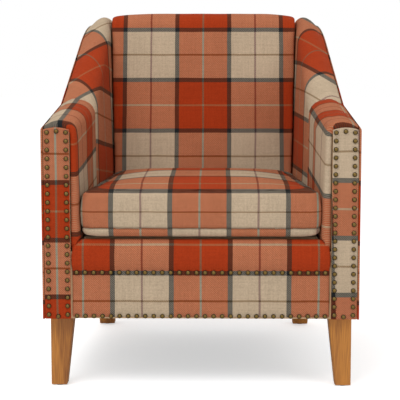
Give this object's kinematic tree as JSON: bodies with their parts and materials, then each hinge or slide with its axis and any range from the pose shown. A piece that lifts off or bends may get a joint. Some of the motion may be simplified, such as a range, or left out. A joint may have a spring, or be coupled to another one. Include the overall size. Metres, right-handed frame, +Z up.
{
  "type": "fireside chair",
  "caption": "Fireside armchair with sloping winged sides, nailed arm facings and front border, loose seat cushion and tapered oak legs.",
  "frame": {"origin": "on the floor, under the middle of the chair's width and depth", "axes": "+Z up, the sitter faces -Y, +X to the right as seen from the front"},
  "size_m": [0.7, 0.74, 0.8401],
  "materials": {
    "check_cloth": "matte",
    "deck_cloth": "matte",
    "black_cloth": "matte",
    "felt": "matte",
    "foam": "matte",
    "webbing": "matte",
    "beech": "matte",
    "oak": "satin",
    "nylon": "matte",
    "steel": "satin",
    "antique_brass": "satin",
    "zip_tape": "matte",
    "zip_metal": "satin"
  },
  "bodies": {
    "chair": {"front_rail": "beech", "back_rail": "beech", "arm_post_right": "beech", "arm_post_left": "beech", "side_rail_right": "beech", "side_rail_left": "beech", "back_post_right": "beech", "back_post_left": "beech", "arm_rail_right": "beech", "arm_rail_left": "beech", "wing_rail_right": "beech", "wing_rail_left": "beech", "top_rail": "beech", "back_tack_rail": "beech", "corner_blocks": "beech", "front_leg_right": "oak", "front_leg_left": "oak", "rear_leg_right": "oak", "rear_leg_left": "oak", "leg_glides": "nylon", "leg_bolts": "steel", "seat_springs": "steel", "spring_clips": "steel", "back_webs": "webbing", "spring_insulator": "felt", "seat_deck": "deck_cloth", "dust_cover": "black_cloth", "front_border": "check_cloth", "inside_back": "check_cloth", "outside_back": "check_cloth", "outside_panel_right": "check_cloth", "outside_panel_left": "check_cloth", "arm_pad_right": "check_cloth", "arm_pad_left": "check_cloth", "wing_pad_right": "check_cloth", "wing_pad_left": "check_cloth", "arm_facing_right": "check_cloth", "arm_facing_left": "check_cloth", "arm_nails_right": "antique_brass", "arm_nails_left": "antique_brass", "rail_nails_upper": "antique_brass", "rail_nails_lower": "antique_brass"},
    "cushion": {"cushion_cover": "check_cloth", "cushion_core": "foam", "cushion_zip": "zip_tape"},
    "zip_slider": {"zip_slider": "zip_metal"}
  },
  "joints": [
    {"name": "cushion_lift", "type": "slide", "parent": "chair", "child": "cushion", "axis": [0, 0, 1], "range_m": [0, 0.45]},
    {"name": "zip_slide", "type": "slide", "parent": "cushion", "child": "zip_slider", "axis": [-1, 0, 0], "range_m": [0, 0.36]}
  ]
}
